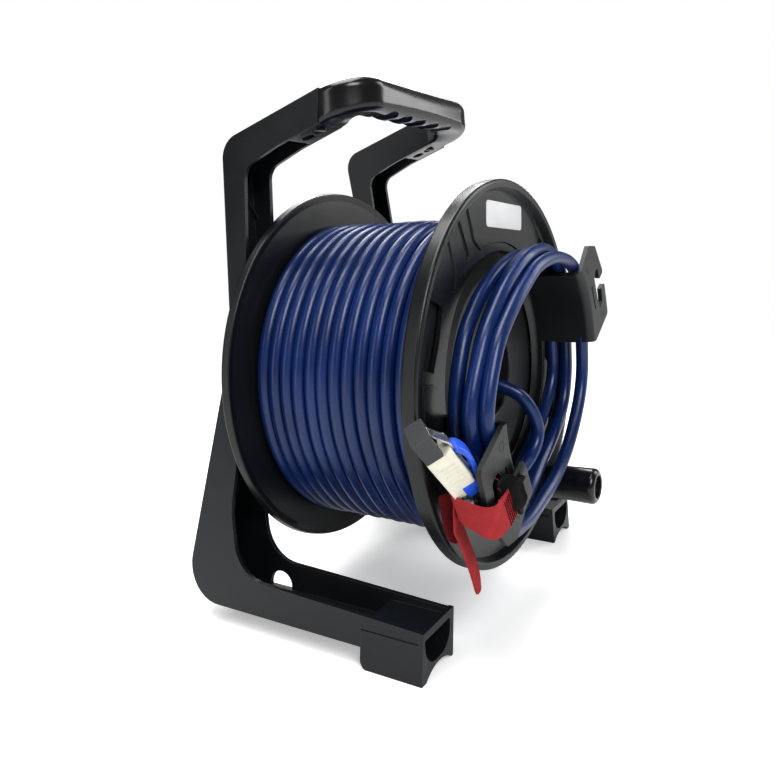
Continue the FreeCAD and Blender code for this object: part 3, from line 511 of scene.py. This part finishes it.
def smooth_line(stations, step):
    """Catmull-Rom line through points, resampled to even steps in metres."""
    dense = []
    padded = [stations[0] * 2 - stations[1]] + stations + [stations[-1] * 2 - stations[-2]]
    for a, b, c, d in zip(padded, padded[1:], padded[2:], padded[3:]):
        for k in range(24):
            t = k / 24
            p = b * 2 + (c - a) * t + (a * 2 - b * 5 + c * 4 - d) * t * t
            dense.append((p + (b * 3 - a - c * 3 + d) * t ** 3) * 0.5)
    dense.append(stations[-1])
    result = [dense[0]]
    left = step
    for a, b in zip(dense, dense[1:]):
        length = (b - a).length
        while length > 0 and left <= length:
            result.append(a.lerp(b, left / length))
            left += step
        left -= length
    result.append(dense[-1])
    return result


# The winding: one continuous cable laid in thirteen turns over a second layer

SAG_DEPTH = 4.4
SAG_SPREAD = 48
CROSSING_SHARE = 0.14
STEPS_PER_TURN = 96
INNER_R = 85.6
INNER_RIDGE = 2.6
INNER_BORE_R = 80.2


def sag(degrees):
    """How far the loose winding hangs below its round, by angle."""
    off = (degrees + 90 + 180) % 360 - 180
    return SAG_DEPTH * math.exp(-(off / SAG_SPREAD) ** 2)


def join_rings(mesh, rings, closed=False):
    """Quads between each ring of vertices and the next, and back to the first if closed."""
    for a, b in zip(rings, rings[1:] + (rings[:1] if closed else [])):
        for k in range(len(a)):
            after = (k + 1) % len(a)
            mesh.faces.new((a[k], a[after], b[after], b[k]))


def winding():
    """The outer layer as one strand, which crosses to the next turn in the last share of each turn."""
    points = []
    for i in range(TURNS * STEPS_PER_TURN + 1):
        turn = i / STEPS_PER_TURN
        degrees = -90 + 360 * turn
        whole = min(int(turn), TURNS - 1)
        crossing = max(0.0, min(1.0, (turn - whole - (1 - CROSSING_SHARE)) / CROSSING_SHARE))
        if whole == TURNS - 1:
            crossing = 0.0
        across = whole + crossing * crossing * (3 - 2 * crossing)
        y = WINDING_START_Y + (across + 0.5) * TURN_PITCH
        angle = math.radians(degrees)
        loose = noise.noise(Vector((math.cos(angle), math.sin(angle), across * 1.7)))
        front = math.exp(-across / 1.6)
        radius = WINDING_R - 0.35 + loose * (0.75 + 1.3 * front) + sag(degrees)
        y += loose * 0.35
        points.append(polar(radius, degrees, y))
    outer = tube("wound_cable_outer", points, CABLE_R * MM, 14, JACKET, "drum")
    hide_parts("wound_cable")

    mesh = bmesh.new()
    around, per_turn = 96, 8
    ends = []
    for y in (WINDING_START_Y, WINDING_START_Y + TURNS * TURN_PITCH):
        ends.append([mesh.verts.new(polar(INNER_BORE_R, 360 * k / around, y)) for k in range(around)])
    rings = [ends[0]]
    for j in range(TURNS * per_turn + 1):
        y = WINDING_START_Y + j * TURN_PITCH / per_turn
        ridge = INNER_RIDGE * abs(math.sin(math.pi * (j / per_turn + 0.5)))
        angles = [360 * k / around for k in range(around)]
        rings.append([mesh.verts.new(polar(INNER_R + ridge + sag(a), a, y)) for a in angles])
    rings.append(ends[1])
    join_rings(mesh, rings, closed=True)
    to_object("wound_cable_inner", mesh, [JACKET], "drum")


# The cable's free end: out of the hub, four times round the hooks, then down to the plug

LOOP_DEGREES = (232, 208, 184, 160, 140, 120, 98, 72, 49, 30, 7, 350, 334, 312, 290)
LOOP_RADII = (
    (82, 83, 84, 78, 72, 68, 68, 75, 82, 82, 79, 80, 73, 64, 62),
    (82, 82, 82.5, 72, 66.5, 64.5, 68.5, 77, 86.5, 89.5, 90.5, 91.8, 89, 77.5, 72),
    (88, 89, 91, 80, 73, 70.5, 72.5, 78, 82, 82.5, 84, 84.8, 82, 70.5, 65),
    (83, 82, 86.5, 77, 68.5, 65, 67, 73, 82.3, 82.3, 78.5, 79, 76, 72.5, 72),
)
LOOP_Y = (
    (0, -4, -4, -3.5, -3, -2.5, -1.5, 0, 1, 1.2, 1.2, 1.2, 1.2, 1, 0.5),
    (-8, -12, -12, -11, -10.4, -10.2, -9.4, -7.3, -5.6, -4.8, -3.6, -2.65, -2.65, -3.2, -4),
    (-13.5, -16, -15.3, -15.6, -15.8, -16, -16.4, -15, -13, -9.5, -7, -7, -7.2, -8.5, -10),
    (-20, -20.2, -22.4, -22.4, -22.4, -22.4, -22.4, -22.4, -22.4, -21.5, -20.4, -20.2, -20.2, -20.2, -20.2),
)
LOW_STATIONS = ((68, -2.5), (77, -7), (69.5, -13))


def free_cable():
    lead = [
        (-65, 40, 37.5),
        (-40, 38, 23),
        (-13, 31, 6),
        (2, 20, -5),
        (6, 8, -10),
        (9, -3, -16),
        (14, -9, -28),
        (15.5, -11, -40),
        (8, -10, -51),
        (-8, -8.5, -58),
    ]
    stations = [local(*p) for p in lead]
    stations.append(polar(70, 245, -4))
    for turn, (radii, ys) in enumerate(zip(LOOP_RADII, LOOP_Y)):
        for r, degrees, y in zip(radii, LOOP_DEGREES, ys):
            stations.append(polar(r, degrees, y))
        if turn < len(LOW_STATIONS):
            r, y = LOW_STATIONS[turn]
            stations.append(polar(r, 265, y))
    along = plug_axes()[0]
    end = [(75, 267, -20.6), (86, 246, -21.6)]
    stations += [polar(*p) for p in end]
    stations.append(local(-65, -22, -73.5))
    for back in (8, 0, -9):
        p = PLUG_TAIL + along * back
        stations.append(local(p.x, p.y, p.z))
    line = smooth_line(stations, 3.0 * MM)
    cable = tube("free_cable", line, 4.15 * MM, 16, JACKET, "drum")
    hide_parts("cable_loops", "cable_lead", "plug_tail")


# Strap

RIBBON_COLUMNS = 14


def ribbon(name, line, across, width, thickness, materials, body, ripple=0.0, round_end=0.0,
           second_from=1.0):
    """Tape along a line of points: the outer face takes the first material, the inner the second."""
    mesh = bmesh.new()
    texture = mesh.loops.layers.uv.new("UVMap")
    columns = RIBBON_COLUMNS
    travelled = [0.0]
    for a, b in zip(line, line[1:]):
        travelled.append(travelled[-1] + (b - a).length)
    rows = []
    total = travelled[-1]
    for i, centre in enumerate(line):
        left = max(total - travelled[i], 0.02 * round_end)
        taper = math.sqrt(1 - (1 - left / round_end) ** 2) if left < round_end else 1.0
        tangent = (line[min(i + 1, len(line) - 1)] - line[max(i - 1, 0)]).normalized()
        wide = (across - tangent * across.dot(tangent)).normalized()
        out = tangent.cross(wide)
        row = []
        for layer in (1, -1):
            strip = []
            for k in range(columns + 1):
                share = k / columns - 0.5
                edge = 1 - (abs(share) * 2) ** 8
                wave = ripple * noise.noise(Vector((travelled[i] * 90, share * 3, 0)))
                lift = layer * thickness * (0.22 + 0.28 * edge) + wave
                strip.append(mesh.verts.new(centre + wide * share * width * taper + out * lift))
            row.append(strip)
        rows.append(row)
    for i in range(len(rows) - 1):
        for layer in (0, 1):
            for k in range(columns):
                a, b = rows[i][layer], rows[i + 1][layer]
                corners = [a[k], a[k + 1], b[k + 1], b[k]]
                here, there = travelled[i], travelled[i + 1]
                spots = [(here, k), (here, k + 1), (there, k + 1), (there, k)]
                if layer:
                    corners.reverse()
                    spots.reverse()
                face = mesh.faces.new(corners)
                face.material_index = 1 if travelled[i] > second_from * total else layer
                for loop, (u, v) in zip(face.loops, spots):
                    loop[texture].uv = (u * 10, v / columns * width * 10)
        for k in (0, columns):
            a, b, c, d = rows[i][0][k], rows[i + 1][0][k], rows[i + 1][1][k], rows[i][1][k]
            mesh.faces.new((a, b, c, d) if k == 0 else (d, c, b, a))
    for row in (rows[0], rows[-1]):
        for k in range(columns):
            corners = [row[0][k], row[1][k], row[1][k + 1], row[0][k + 1]]
            if row is rows[-1]:
                corners.reverse()
            mesh.faces.new(corners)
    return to_object(name, mesh, materials, body)


STRAP_WIDTH = 20.0
STRAP_T = 1.5
TAIL_WIDTH = 17.0
TAIL_TWIST = 16.0
TAIL_LENGTH = 40.0
TAIL_LEAN = 14.0
TAIL_TILT = 7
TAIL_SAG = 0.8
# Centre line in the lower hook's plane: radius, y, and how far it slants across the hook
STRAP_PATH = (
    (90, -31.3, 8.0),
    (94, -31.4, 7.8),
    (99, -31.5, 6.8),
    (106, -31.6, 4.4),
    (111.6, -30.8, 1.6),
    (114.8, -27.6, -1.0),
    (115.6, -22.5, -3.2),
    (115.2, -17, -5.0),
    (113.2, -12.2, -6.0),
    (109.4, -10.0, -6.4),
    (104, -9.6, -6.4),
    (99, -9.8, -6.2),
    (96, -11.6, -5.8),
    (95.0, -15, -5.0),
    (94.9, -22, -3.0),
    (95.6, -27.0, -1.0),
    (97.8, -29.0, 0.0),
)
# Share of the band's length after which both faces are black tape
BLACK_FROM = 0.62
PAD_RADII = (75, 78, 82, 86, 89.5)
PATCH_PATH = ((84.0, -35.3, 4), (89.2, -35.3, 4), (92, -33.0, 1), (94, -30.5, -1), (101, -30.3, -2))
# Drum coordinates of the layer behind the loose end, and of the loose end above its hinge
LAYER_PATH = ((-97.8, -4.2, -44.5), (-94.8, -3.8, -53.2), (-91.0, -3.4, -64.0), (-86.0, -3.0, -75.0))
STUB_PATH = ((-92.5, -7.6, -47.0), (-92.4, -7.2, -54.0), (-91.6, -6.8, -59.5))


def strap():
    points = [on_hook(LOWER_HOOK, *station) for station in STRAP_PATH]
    across = on_hook(LOWER_HOOK, 90, 0, 1) - on_hook(LOWER_HOOK, 90, 0, 0)
    band = ribbon(
        "strap_band",
        smooth_line(points, 1.2 * MM),
        across,
        STRAP_WIDTH * MM,
        STRAP_T * MM,
        [RED, BLACK_TAPE],
        "drum",
        ripple=0.25 * MM,
        second_from=BLACK_FROM,
    )
    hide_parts("strap_wrap")
    # Finger pad of the hook beyond the sewn end, with a patch of fuzzy tape on it
    pad = [on_hook(LOWER_HOOK, r, -32.6, 8) for r in PAD_RADII]
    ribbon(
        "hook_finger_pad",
        smooth_line(pad, 1.0 * MM),
        across,
        25 * MM,
        5.0 * MM,
        [HOOK, HOOK],
        "drum",
    )
    patch = [on_hook(LOWER_HOOK, *p) for p in PATCH_PATH]
    ribbon(
        "strap_hook_patch",
        smooth_line(patch, 1.0 * MM),
        across,
        20 * MM,
        1.0 * MM,
        [BLACK_TAPE, BLACK_TAPE],
        "drum",
        ripple=0.3 * MM,
    )
    # The layer behind the loose end takes the painted-shade copy of the red tape.
    layer = [local(*p) for p in LAYER_PATH]
    ribbon(
        "strap_under_layer",
        smooth_line(layer, 1.5 * MM),
        Vector((0.75, -0.6, 0.1)),
        9 * MM,
        1.2 * MM,
        [PAINTED_SHADE_RED, PAINTED_SHADE_RED],
        "drum",
        ripple=0.2 * MM,
        round_end=9.0 * MM,
    )


def loose_end():
    """Stub and hanging end of the strap, in one piece that bends at the hinge."""
    points = [local(*p) for p in STUB_PATH]
    for share in (0.0, 0.15, 0.3, 0.5, 0.7, 0.85, 1.0):
        fall = TAIL_LENGTH * share
        out = fall * math.tan(math.radians(TAIL_TILT)) + TAIL_SAG * math.sin(math.pi * share)
        points.append(local(TAIL_TOP.x + TAIL_LEAN * share, TAIL_TOP.y - out, TAIL_TOP.z - fall))
    turn = math.radians(TAIL_TWIST)
    tail = ribbon(
        "strap_loose_end",
        smooth_line(points, 1.2 * MM),
        Vector((math.cos(turn), math.sin(turn), 0)),
        TAIL_WIDTH * MM,
        STRAP_T * MM,
        [RED, BLACK_TAPE],
        None,
        ripple=0.2 * MM,
        round_end=7.0 * MM,
    )
    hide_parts("strap_tail")
    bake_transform(tail)


STITCH_ROWS = 6
STITCHES_PER_ROW = 9
STITCH_PITCH = 1.95
STITCH_LENGTH = 1.5
ROW_PITCH = 1.9
SEAM_R = 91.5
SEAM_SLANT = -0.9
STITCH_Y = -32.35


def stitches():
    """Sewn grid near the strap's end: short threads standing on the tape."""
    mesh = bmesh.new()
    rise = Vector((0, -1, 0))

    def thread(a, b):
        along = b - a
        side = along.cross(rise).normalized() * 0.35 * MM
        rings = []
        for share, height in ((0.0, 0.0), (0.25, 1.0), (0.75, 1.0), (1.0, 0.0)):
            middle = a + along * share + rise * (0.32 * MM * height)
            spots = (middle - side, middle + rise * 0.25 * MM, middle + side, middle - rise * 0.3 * MM)
            rings.append([mesh.verts.new(p) for p in spots])
        join_rings(mesh, rings)
        mesh.faces.new(list(reversed(rings[0])))
        mesh.faces.new(rings[-1])

    for i in range(STITCH_ROWS):
        r = SEAM_R + i * ROW_PITCH
        for k in range(STITCHES_PER_ROW):
            t = SEAM_SLANT + k * STITCH_PITCH
            start = on_hook(LOWER_HOOK, r, STITCH_Y, t)
            thread(start, on_hook(LOWER_HOOK, r, STITCH_Y, t + STITCH_LENGTH))
    thread_look = woven("strap_thread_look", (0.055, 0.004, 0.006), (0.14, 0.012, 0.015), 0.4)
    to_object("strap_stitches", mesh, [thread_look], "drum")


PATCH_FIBRES = 1500
EDGE_FIBRES = 420


def jolt(amount):
    """Three random draws as a vector."""
    return Vector([random.uniform(-amount, amount) for _ in range(3)])


def fibres():
    """Loose fibres standing out of the black tape and along the strap's edges."""
    mesh = bmesh.new()

    def fibre(root, direction, length):
        side = direction.cross(jolt(1)).normalized() * 0.06 * MM
        over = direction.cross(side)
        bend = jolt(1) * length * 0.35
        middle = root + direction * length * 0.55 + bend * 0.4
        tip = root + direction * length + bend
        corners = (side, over - side, -over - side)
        low = [mesh.verts.new(root + c) for c in corners]
        high = [mesh.verts.new(middle + c * 0.7) for c in corners]
        point = mesh.verts.new(tip)
        mesh.faces.new(list(reversed(low)))
        for k in range(3):
            after = (k + 1) % 3
            mesh.faces.new((low[k], low[after], high[after], high[k]))
            mesh.faces.new((high[k], high[after], point))

    for _ in range(PATCH_FIBRES):
        r = random.uniform(84.2, 100.8)
        t = 3.0 + random.uniform(-10.3, 10.3) - 0.4 * max(0.0, r - 90)
        y = -35.8 if r < 89.2 else -35.8 + min(5.0, 2.0 * (r - 89.2))
        outward = Vector((random.uniform(-0.5, 0.5), -1, random.uniform(-0.5, 0.5))).normalized()
        fibre(on_hook(LOWER_HOOK, r, y, t), outward, random.uniform(0.5, 1.3) * MM)
    edges = []
    for sign in (-1, 1):
        for _ in range(EDGE_FIBRES):
            i = random.randrange(len(STRAP_PATH) - 1)
            share = random.random()
            before, after = Vector(STRAP_PATH[i]), Vector(STRAP_PATH[i + 1])
            edges.append((*before.lerp(after, share), sign))
    for r, y, t, sign in edges:
        root = on_hook(LOWER_HOOK, r, y, t + sign * 9.8)
        outward = on_hook(LOWER_HOOK, r, y, t + sign * 12) - root
        direction = (outward.normalized() + jolt(0.6)).normalized()
        fibre(root, direction, random.uniform(0.4, 1.1) * MM)
    to_object("strap_fibres", mesh, [BLACK_TAPE], "drum")


# Small moulded and metal details

MARK_SIDES = 36
# Hook, radius and place across it of each mark; then the ring's section as radius and height
MARKS = ((UPPER_HOOK, 84, 22), (UPPER_HOOK, 98, -22.5), (LOWER_HOOK, 84, -22), (LOWER_HOOK, 86, 24))
MARK_SECTION = ((2.4, 0.05), (2.55, -0.12), (2.8, -0.12), (2.95, 0.05))


def hook_marks():
    """Round ejector marks on the hooks' lips, as fine raised rings."""
    mesh = bmesh.new()
    for hook, r, t in MARKS:
        rings = []
        for radius, y in MARK_SECTION:
            ring = []
            for k in range(MARK_SIDES):
                turn = 2 * math.pi * k / MARK_SIDES
                place = on_hook(hook, r + radius * math.cos(turn), LIP_Y + y, t + radius * math.sin(turn))
                ring.append(mesh.verts.new(place))
            rings.append(ring)
        join_rings(mesh, rings, closed=True)
    to_object("hook_marks", mesh, [HOOK], "drum")


BLADES = 8
BLADE_PITCH = 1.02
BLADE_HALF = 0.16
BLADE_OUTLINE = ((1.9, -3.3), (2.3, -3.9), (6.3, -3.9), (6.7, -3.3), (6.7, -2.95), (1.9, -2.95))


def contacts():
    """Eight gold blades in the plug's nose, each a thin plate with cut corners."""
    mesh = bmesh.new()
    for k in range(BLADES):
        s = (k - (BLADES - 1) / 2) * BLADE_PITCH
        layers = []
        for offset in (-BLADE_HALF, BLADE_HALF):
            layers.append([mesh.verts.new(on_plug(u, s + offset, w)) for u, w in BLADE_OUTLINE])
        join_rings(mesh, layers)
        mesh.faces.new(list(reversed(layers[0])))
        mesh.faces.new(layers[1])
    to_object("plug_contacts", mesh, [GOLD], "drum", smooth=False)


# Length along the plug and height above it, from the lever's thumb end to its root
LEVER_PATH = ((19, 9.9), (21, 11.4), (26, 12.9), (33, 12.6), (39.5, 11.0), (44.5, 8.2), (47.0, 4.6))


def lever():
    """The plug's arched release lever."""
    points = [on_plug(u, 0, w) for u, w in LEVER_PATH]
    made = ribbon(
        "lever_arch",
        smooth_line(points, 1.0 * MM),
        plug_axes()[1],
        9.6 * MM,
        3.0 * MM,
        [BLUE, BLUE],
        "release_lever",
    )
    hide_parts("plug_release_lever")


FINGERS = 12
FINGER_TWIST = 3.2
FINGER_ROOT_U = 46
FINGER_INNER_R = 4.6
# Length along the plug, outer radius and half width at each station of a finger
FINGER_STATIONS = ((46.2, 6.7, 0.9), (49, 6.6, 0.95), (53, 6.0, 0.8), (57, 5.0, 0.55))


def gland_fingers():
    """Clamp fingers round the plug's gland: twelve tapered plates with a slight twist."""
    mesh = bmesh.new()
    for k in range(FINGERS):
        rows = []
        for u, radius, half in FINGER_STATIONS:
            turn = 2 * math.pi * k / FINGERS + math.radians(FINGER_TWIST * (u - FINGER_ROOT_U))
            row = []
            inner = FINGER_INNER_R
            for rise, off in ((radius, -half), (radius, half), (inner, half), (inner, -half)):
                s = rise * math.cos(turn) - off * math.sin(turn)
                w = rise * math.sin(turn) + off * math.cos(turn)
                row.append(mesh.verts.new(on_plug(u, s, w)))
            rows.append(row)
        join_rings(mesh, rows)
        mesh.faces.new(list(reversed(rows[0])))
        mesh.faces.new(rows[-1])
    to_object("gland_fingers", mesh, [ZINC], "drum", smooth=False)


BACKING_SECTION = ((62, 10.0), (62, 10.3), (108, 10.3), (108, 10.0))
BACKING_SIDES = 120


def window_backing():
    """Thin dark ring behind the front flange's windows, in front of the winding."""
    mesh = bmesh.new()
    angles = [360 * k / BACKING_SIDES for k in range(BACKING_SIDES)]
    rings = [[mesh.verts.new(polar(radius, a, y)) for a in angles] for radius, y in BACKING_SECTION]
    join_rings(mesh, rings, closed=True)
    to_object("window_backing", mesh, [FLANGE], "drum")


# Stage

FLOOR_R = 14.0
FLOOR_SIDES = 64
FADE_START, FADE_END = 0.45, 1.3
FLOOR_GLOW = 0.42


def floor():
    mesh = bmesh.new()
    centre = mesh.verts.new((0, 0, 0))
    rim = []
    for k in range(FLOOR_SIDES):
        turn = 2 * math.pi * k / FLOOR_SIDES
        rim.append(mesh.verts.new((FLOOR_R * math.cos(turn), FLOOR_R * math.sin(turn), 0)))
    for k in range(FLOOR_SIDES):
        mesh.faces.new((centre, rim[k], rim[(k + 1) % FLOOR_SIDES]))
    data = bpy.data.meshes.new("studio_floor")
    mesh.to_mesh(data)
    mesh.free()
    made = bpy.data.objects.new("studio_floor", data)
    bpy.context.scene.collection.objects.link(made)
    s = Shader("studio_floor_look")
    s.set(Base_Color=(0.93, 0.93, 0.93), Roughness=0.6, Specular_IOR_Level=0.25)
    distance = s.add("VectorMath", operation="LENGTH")
    s.link(s.place(), distance.inputs[0])
    fade = s.spread(distance.outputs["Value"], FADE_START, FADE_END, 0.0, 1.0)
    glow = s.add("Emission")
    glow.inputs["Color"].default_value = (1, 1, 1, 1)
    # A camera-only lift keeps the floor near white without lighting the object from below
    path = s.add("LightPath")
    lift = s.maths("MULTIPLY", path.outputs["Is Camera Ray"], FLOOR_GLOW)
    s.set(Emission_Color=(1, 1, 1), Emission_Strength=lift)
    mix = s.add("MixShader")
    s.link(fade, mix.inputs[0])
    s.link(s.bsdf.outputs[0], mix.inputs[1])
    s.link(glow.outputs[0], mix.inputs[2])
    s.link(mix.outputs[0], s.tree.nodes["Material Output"].inputs["Surface"])
    data.materials.append(s.material)


# The sky's strength as a light, and as the camera sees it
WORLD_LIGHT = 0.15
WORLD_SEEN = 1.0


def world():
    made = bpy.data.worlds.new("studio")
    bpy.context.scene.world = made
    made.use_nodes = True
    tree = made.node_tree
    background = tree.nodes["Background"]
    background.inputs["Color"].default_value = (1, 1, 1, 1)
    path = tree.nodes.new("ShaderNodeLightPath")
    strength = tree.nodes.new("ShaderNodeMapRange")
    strength.inputs["To Min"].default_value = WORLD_LIGHT
    strength.inputs["To Max"].default_value = WORLD_SEEN
    tree.links.new(path.outputs["Is Camera Ray"], strength.inputs["Value"])
    tree.links.new(strength.outputs["Result"], background.inputs["Strength"])


def area_light(name, at, look, size, power):
    data = bpy.data.lights.new(name, "AREA")
    data.shape = "RECTANGLE"
    data.size, data.size_y = size
    data.energy = power
    made = bpy.data.objects.new(name, data)
    made.location = at
    made.rotation_mode = "QUATERNION"
    made.rotation_quaternion = (Vector(look) - Vector(at)).to_track_quat("-Z", "Y")
    bpy.context.scene.collection.objects.link(made)


def lights():
    target = (0, 0, 0.15)
    area_light("key_softbox", (-1.0, -1.3, 1.5), target, (0.9, 0.9), 22)
    area_light("top_softbox", (-0.1, 0.2, 1.7), target, (1.3, 0.9), 22)
    area_light("back_softbox", (1.1, 0.75, 1.25), target, (1.0, 0.7), 14)
    area_light("left_strip", (-1.5, 0.5, 0.7), target, (0.3, 1.4), 4)
    area_light("right_strip", (1.3, -0.9, 0.9), target, (0.5, 1.2), 8)


# Yaw from +Y towards +X, pitch down and roll, in degrees
CAMERA_TURN = (58.877, 7.169, 2.291)
CAMERA_AT = (-0.40591, -0.23812, 0.2242)
CAMERA_LENS = 34.27
CAMERA_SHIFT = (-0.01739, -0.06795)


def camera():
    yaw, pitch, roll = (math.radians(a) for a in CAMERA_TURN)
    ahead = Vector((math.sin(yaw) * math.cos(pitch), math.cos(yaw) * math.cos(pitch), -math.sin(pitch)))
    right = Vector((math.cos(yaw), -math.sin(yaw), 0))
    down = ahead.cross(right)
    right, down = (
        right * math.cos(roll) + down * math.sin(roll),
        down * math.cos(roll) - right * math.sin(roll),
    )
    data = bpy.data.cameras.new("camera")
    data.sensor_width = 36
    data.lens = CAMERA_LENS
    data.shift_x, data.shift_y = CAMERA_SHIFT
    data.clip_start = 0.02
    made = bpy.data.objects.new("camera", data)
    made.matrix_world = Matrix.Translation(CAMERA_AT) @ Matrix(
        (
            (right.x, -down.x, -ahead.x, 0),
            (right.y, -down.y, -ahead.y, 0),
            (right.z, -down.z, -ahead.z, 0),
            (0, 0, 0, 1),
        )
    )
    bpy.context.scene.collection.objects.link(made)
    bpy.context.scene.camera = made


dress_cad()
winding()
free_cable()
strap()
loose_end()
stitches()
fibres()
hook_marks()
contacts()
lever()
gland_fingers()
window_backing()
floor()
world()
lights()
camera()
bpy.context.scene.view_settings.view_transform = "Standard"
bpy.context.scene.view_settings.gamma = 0.88
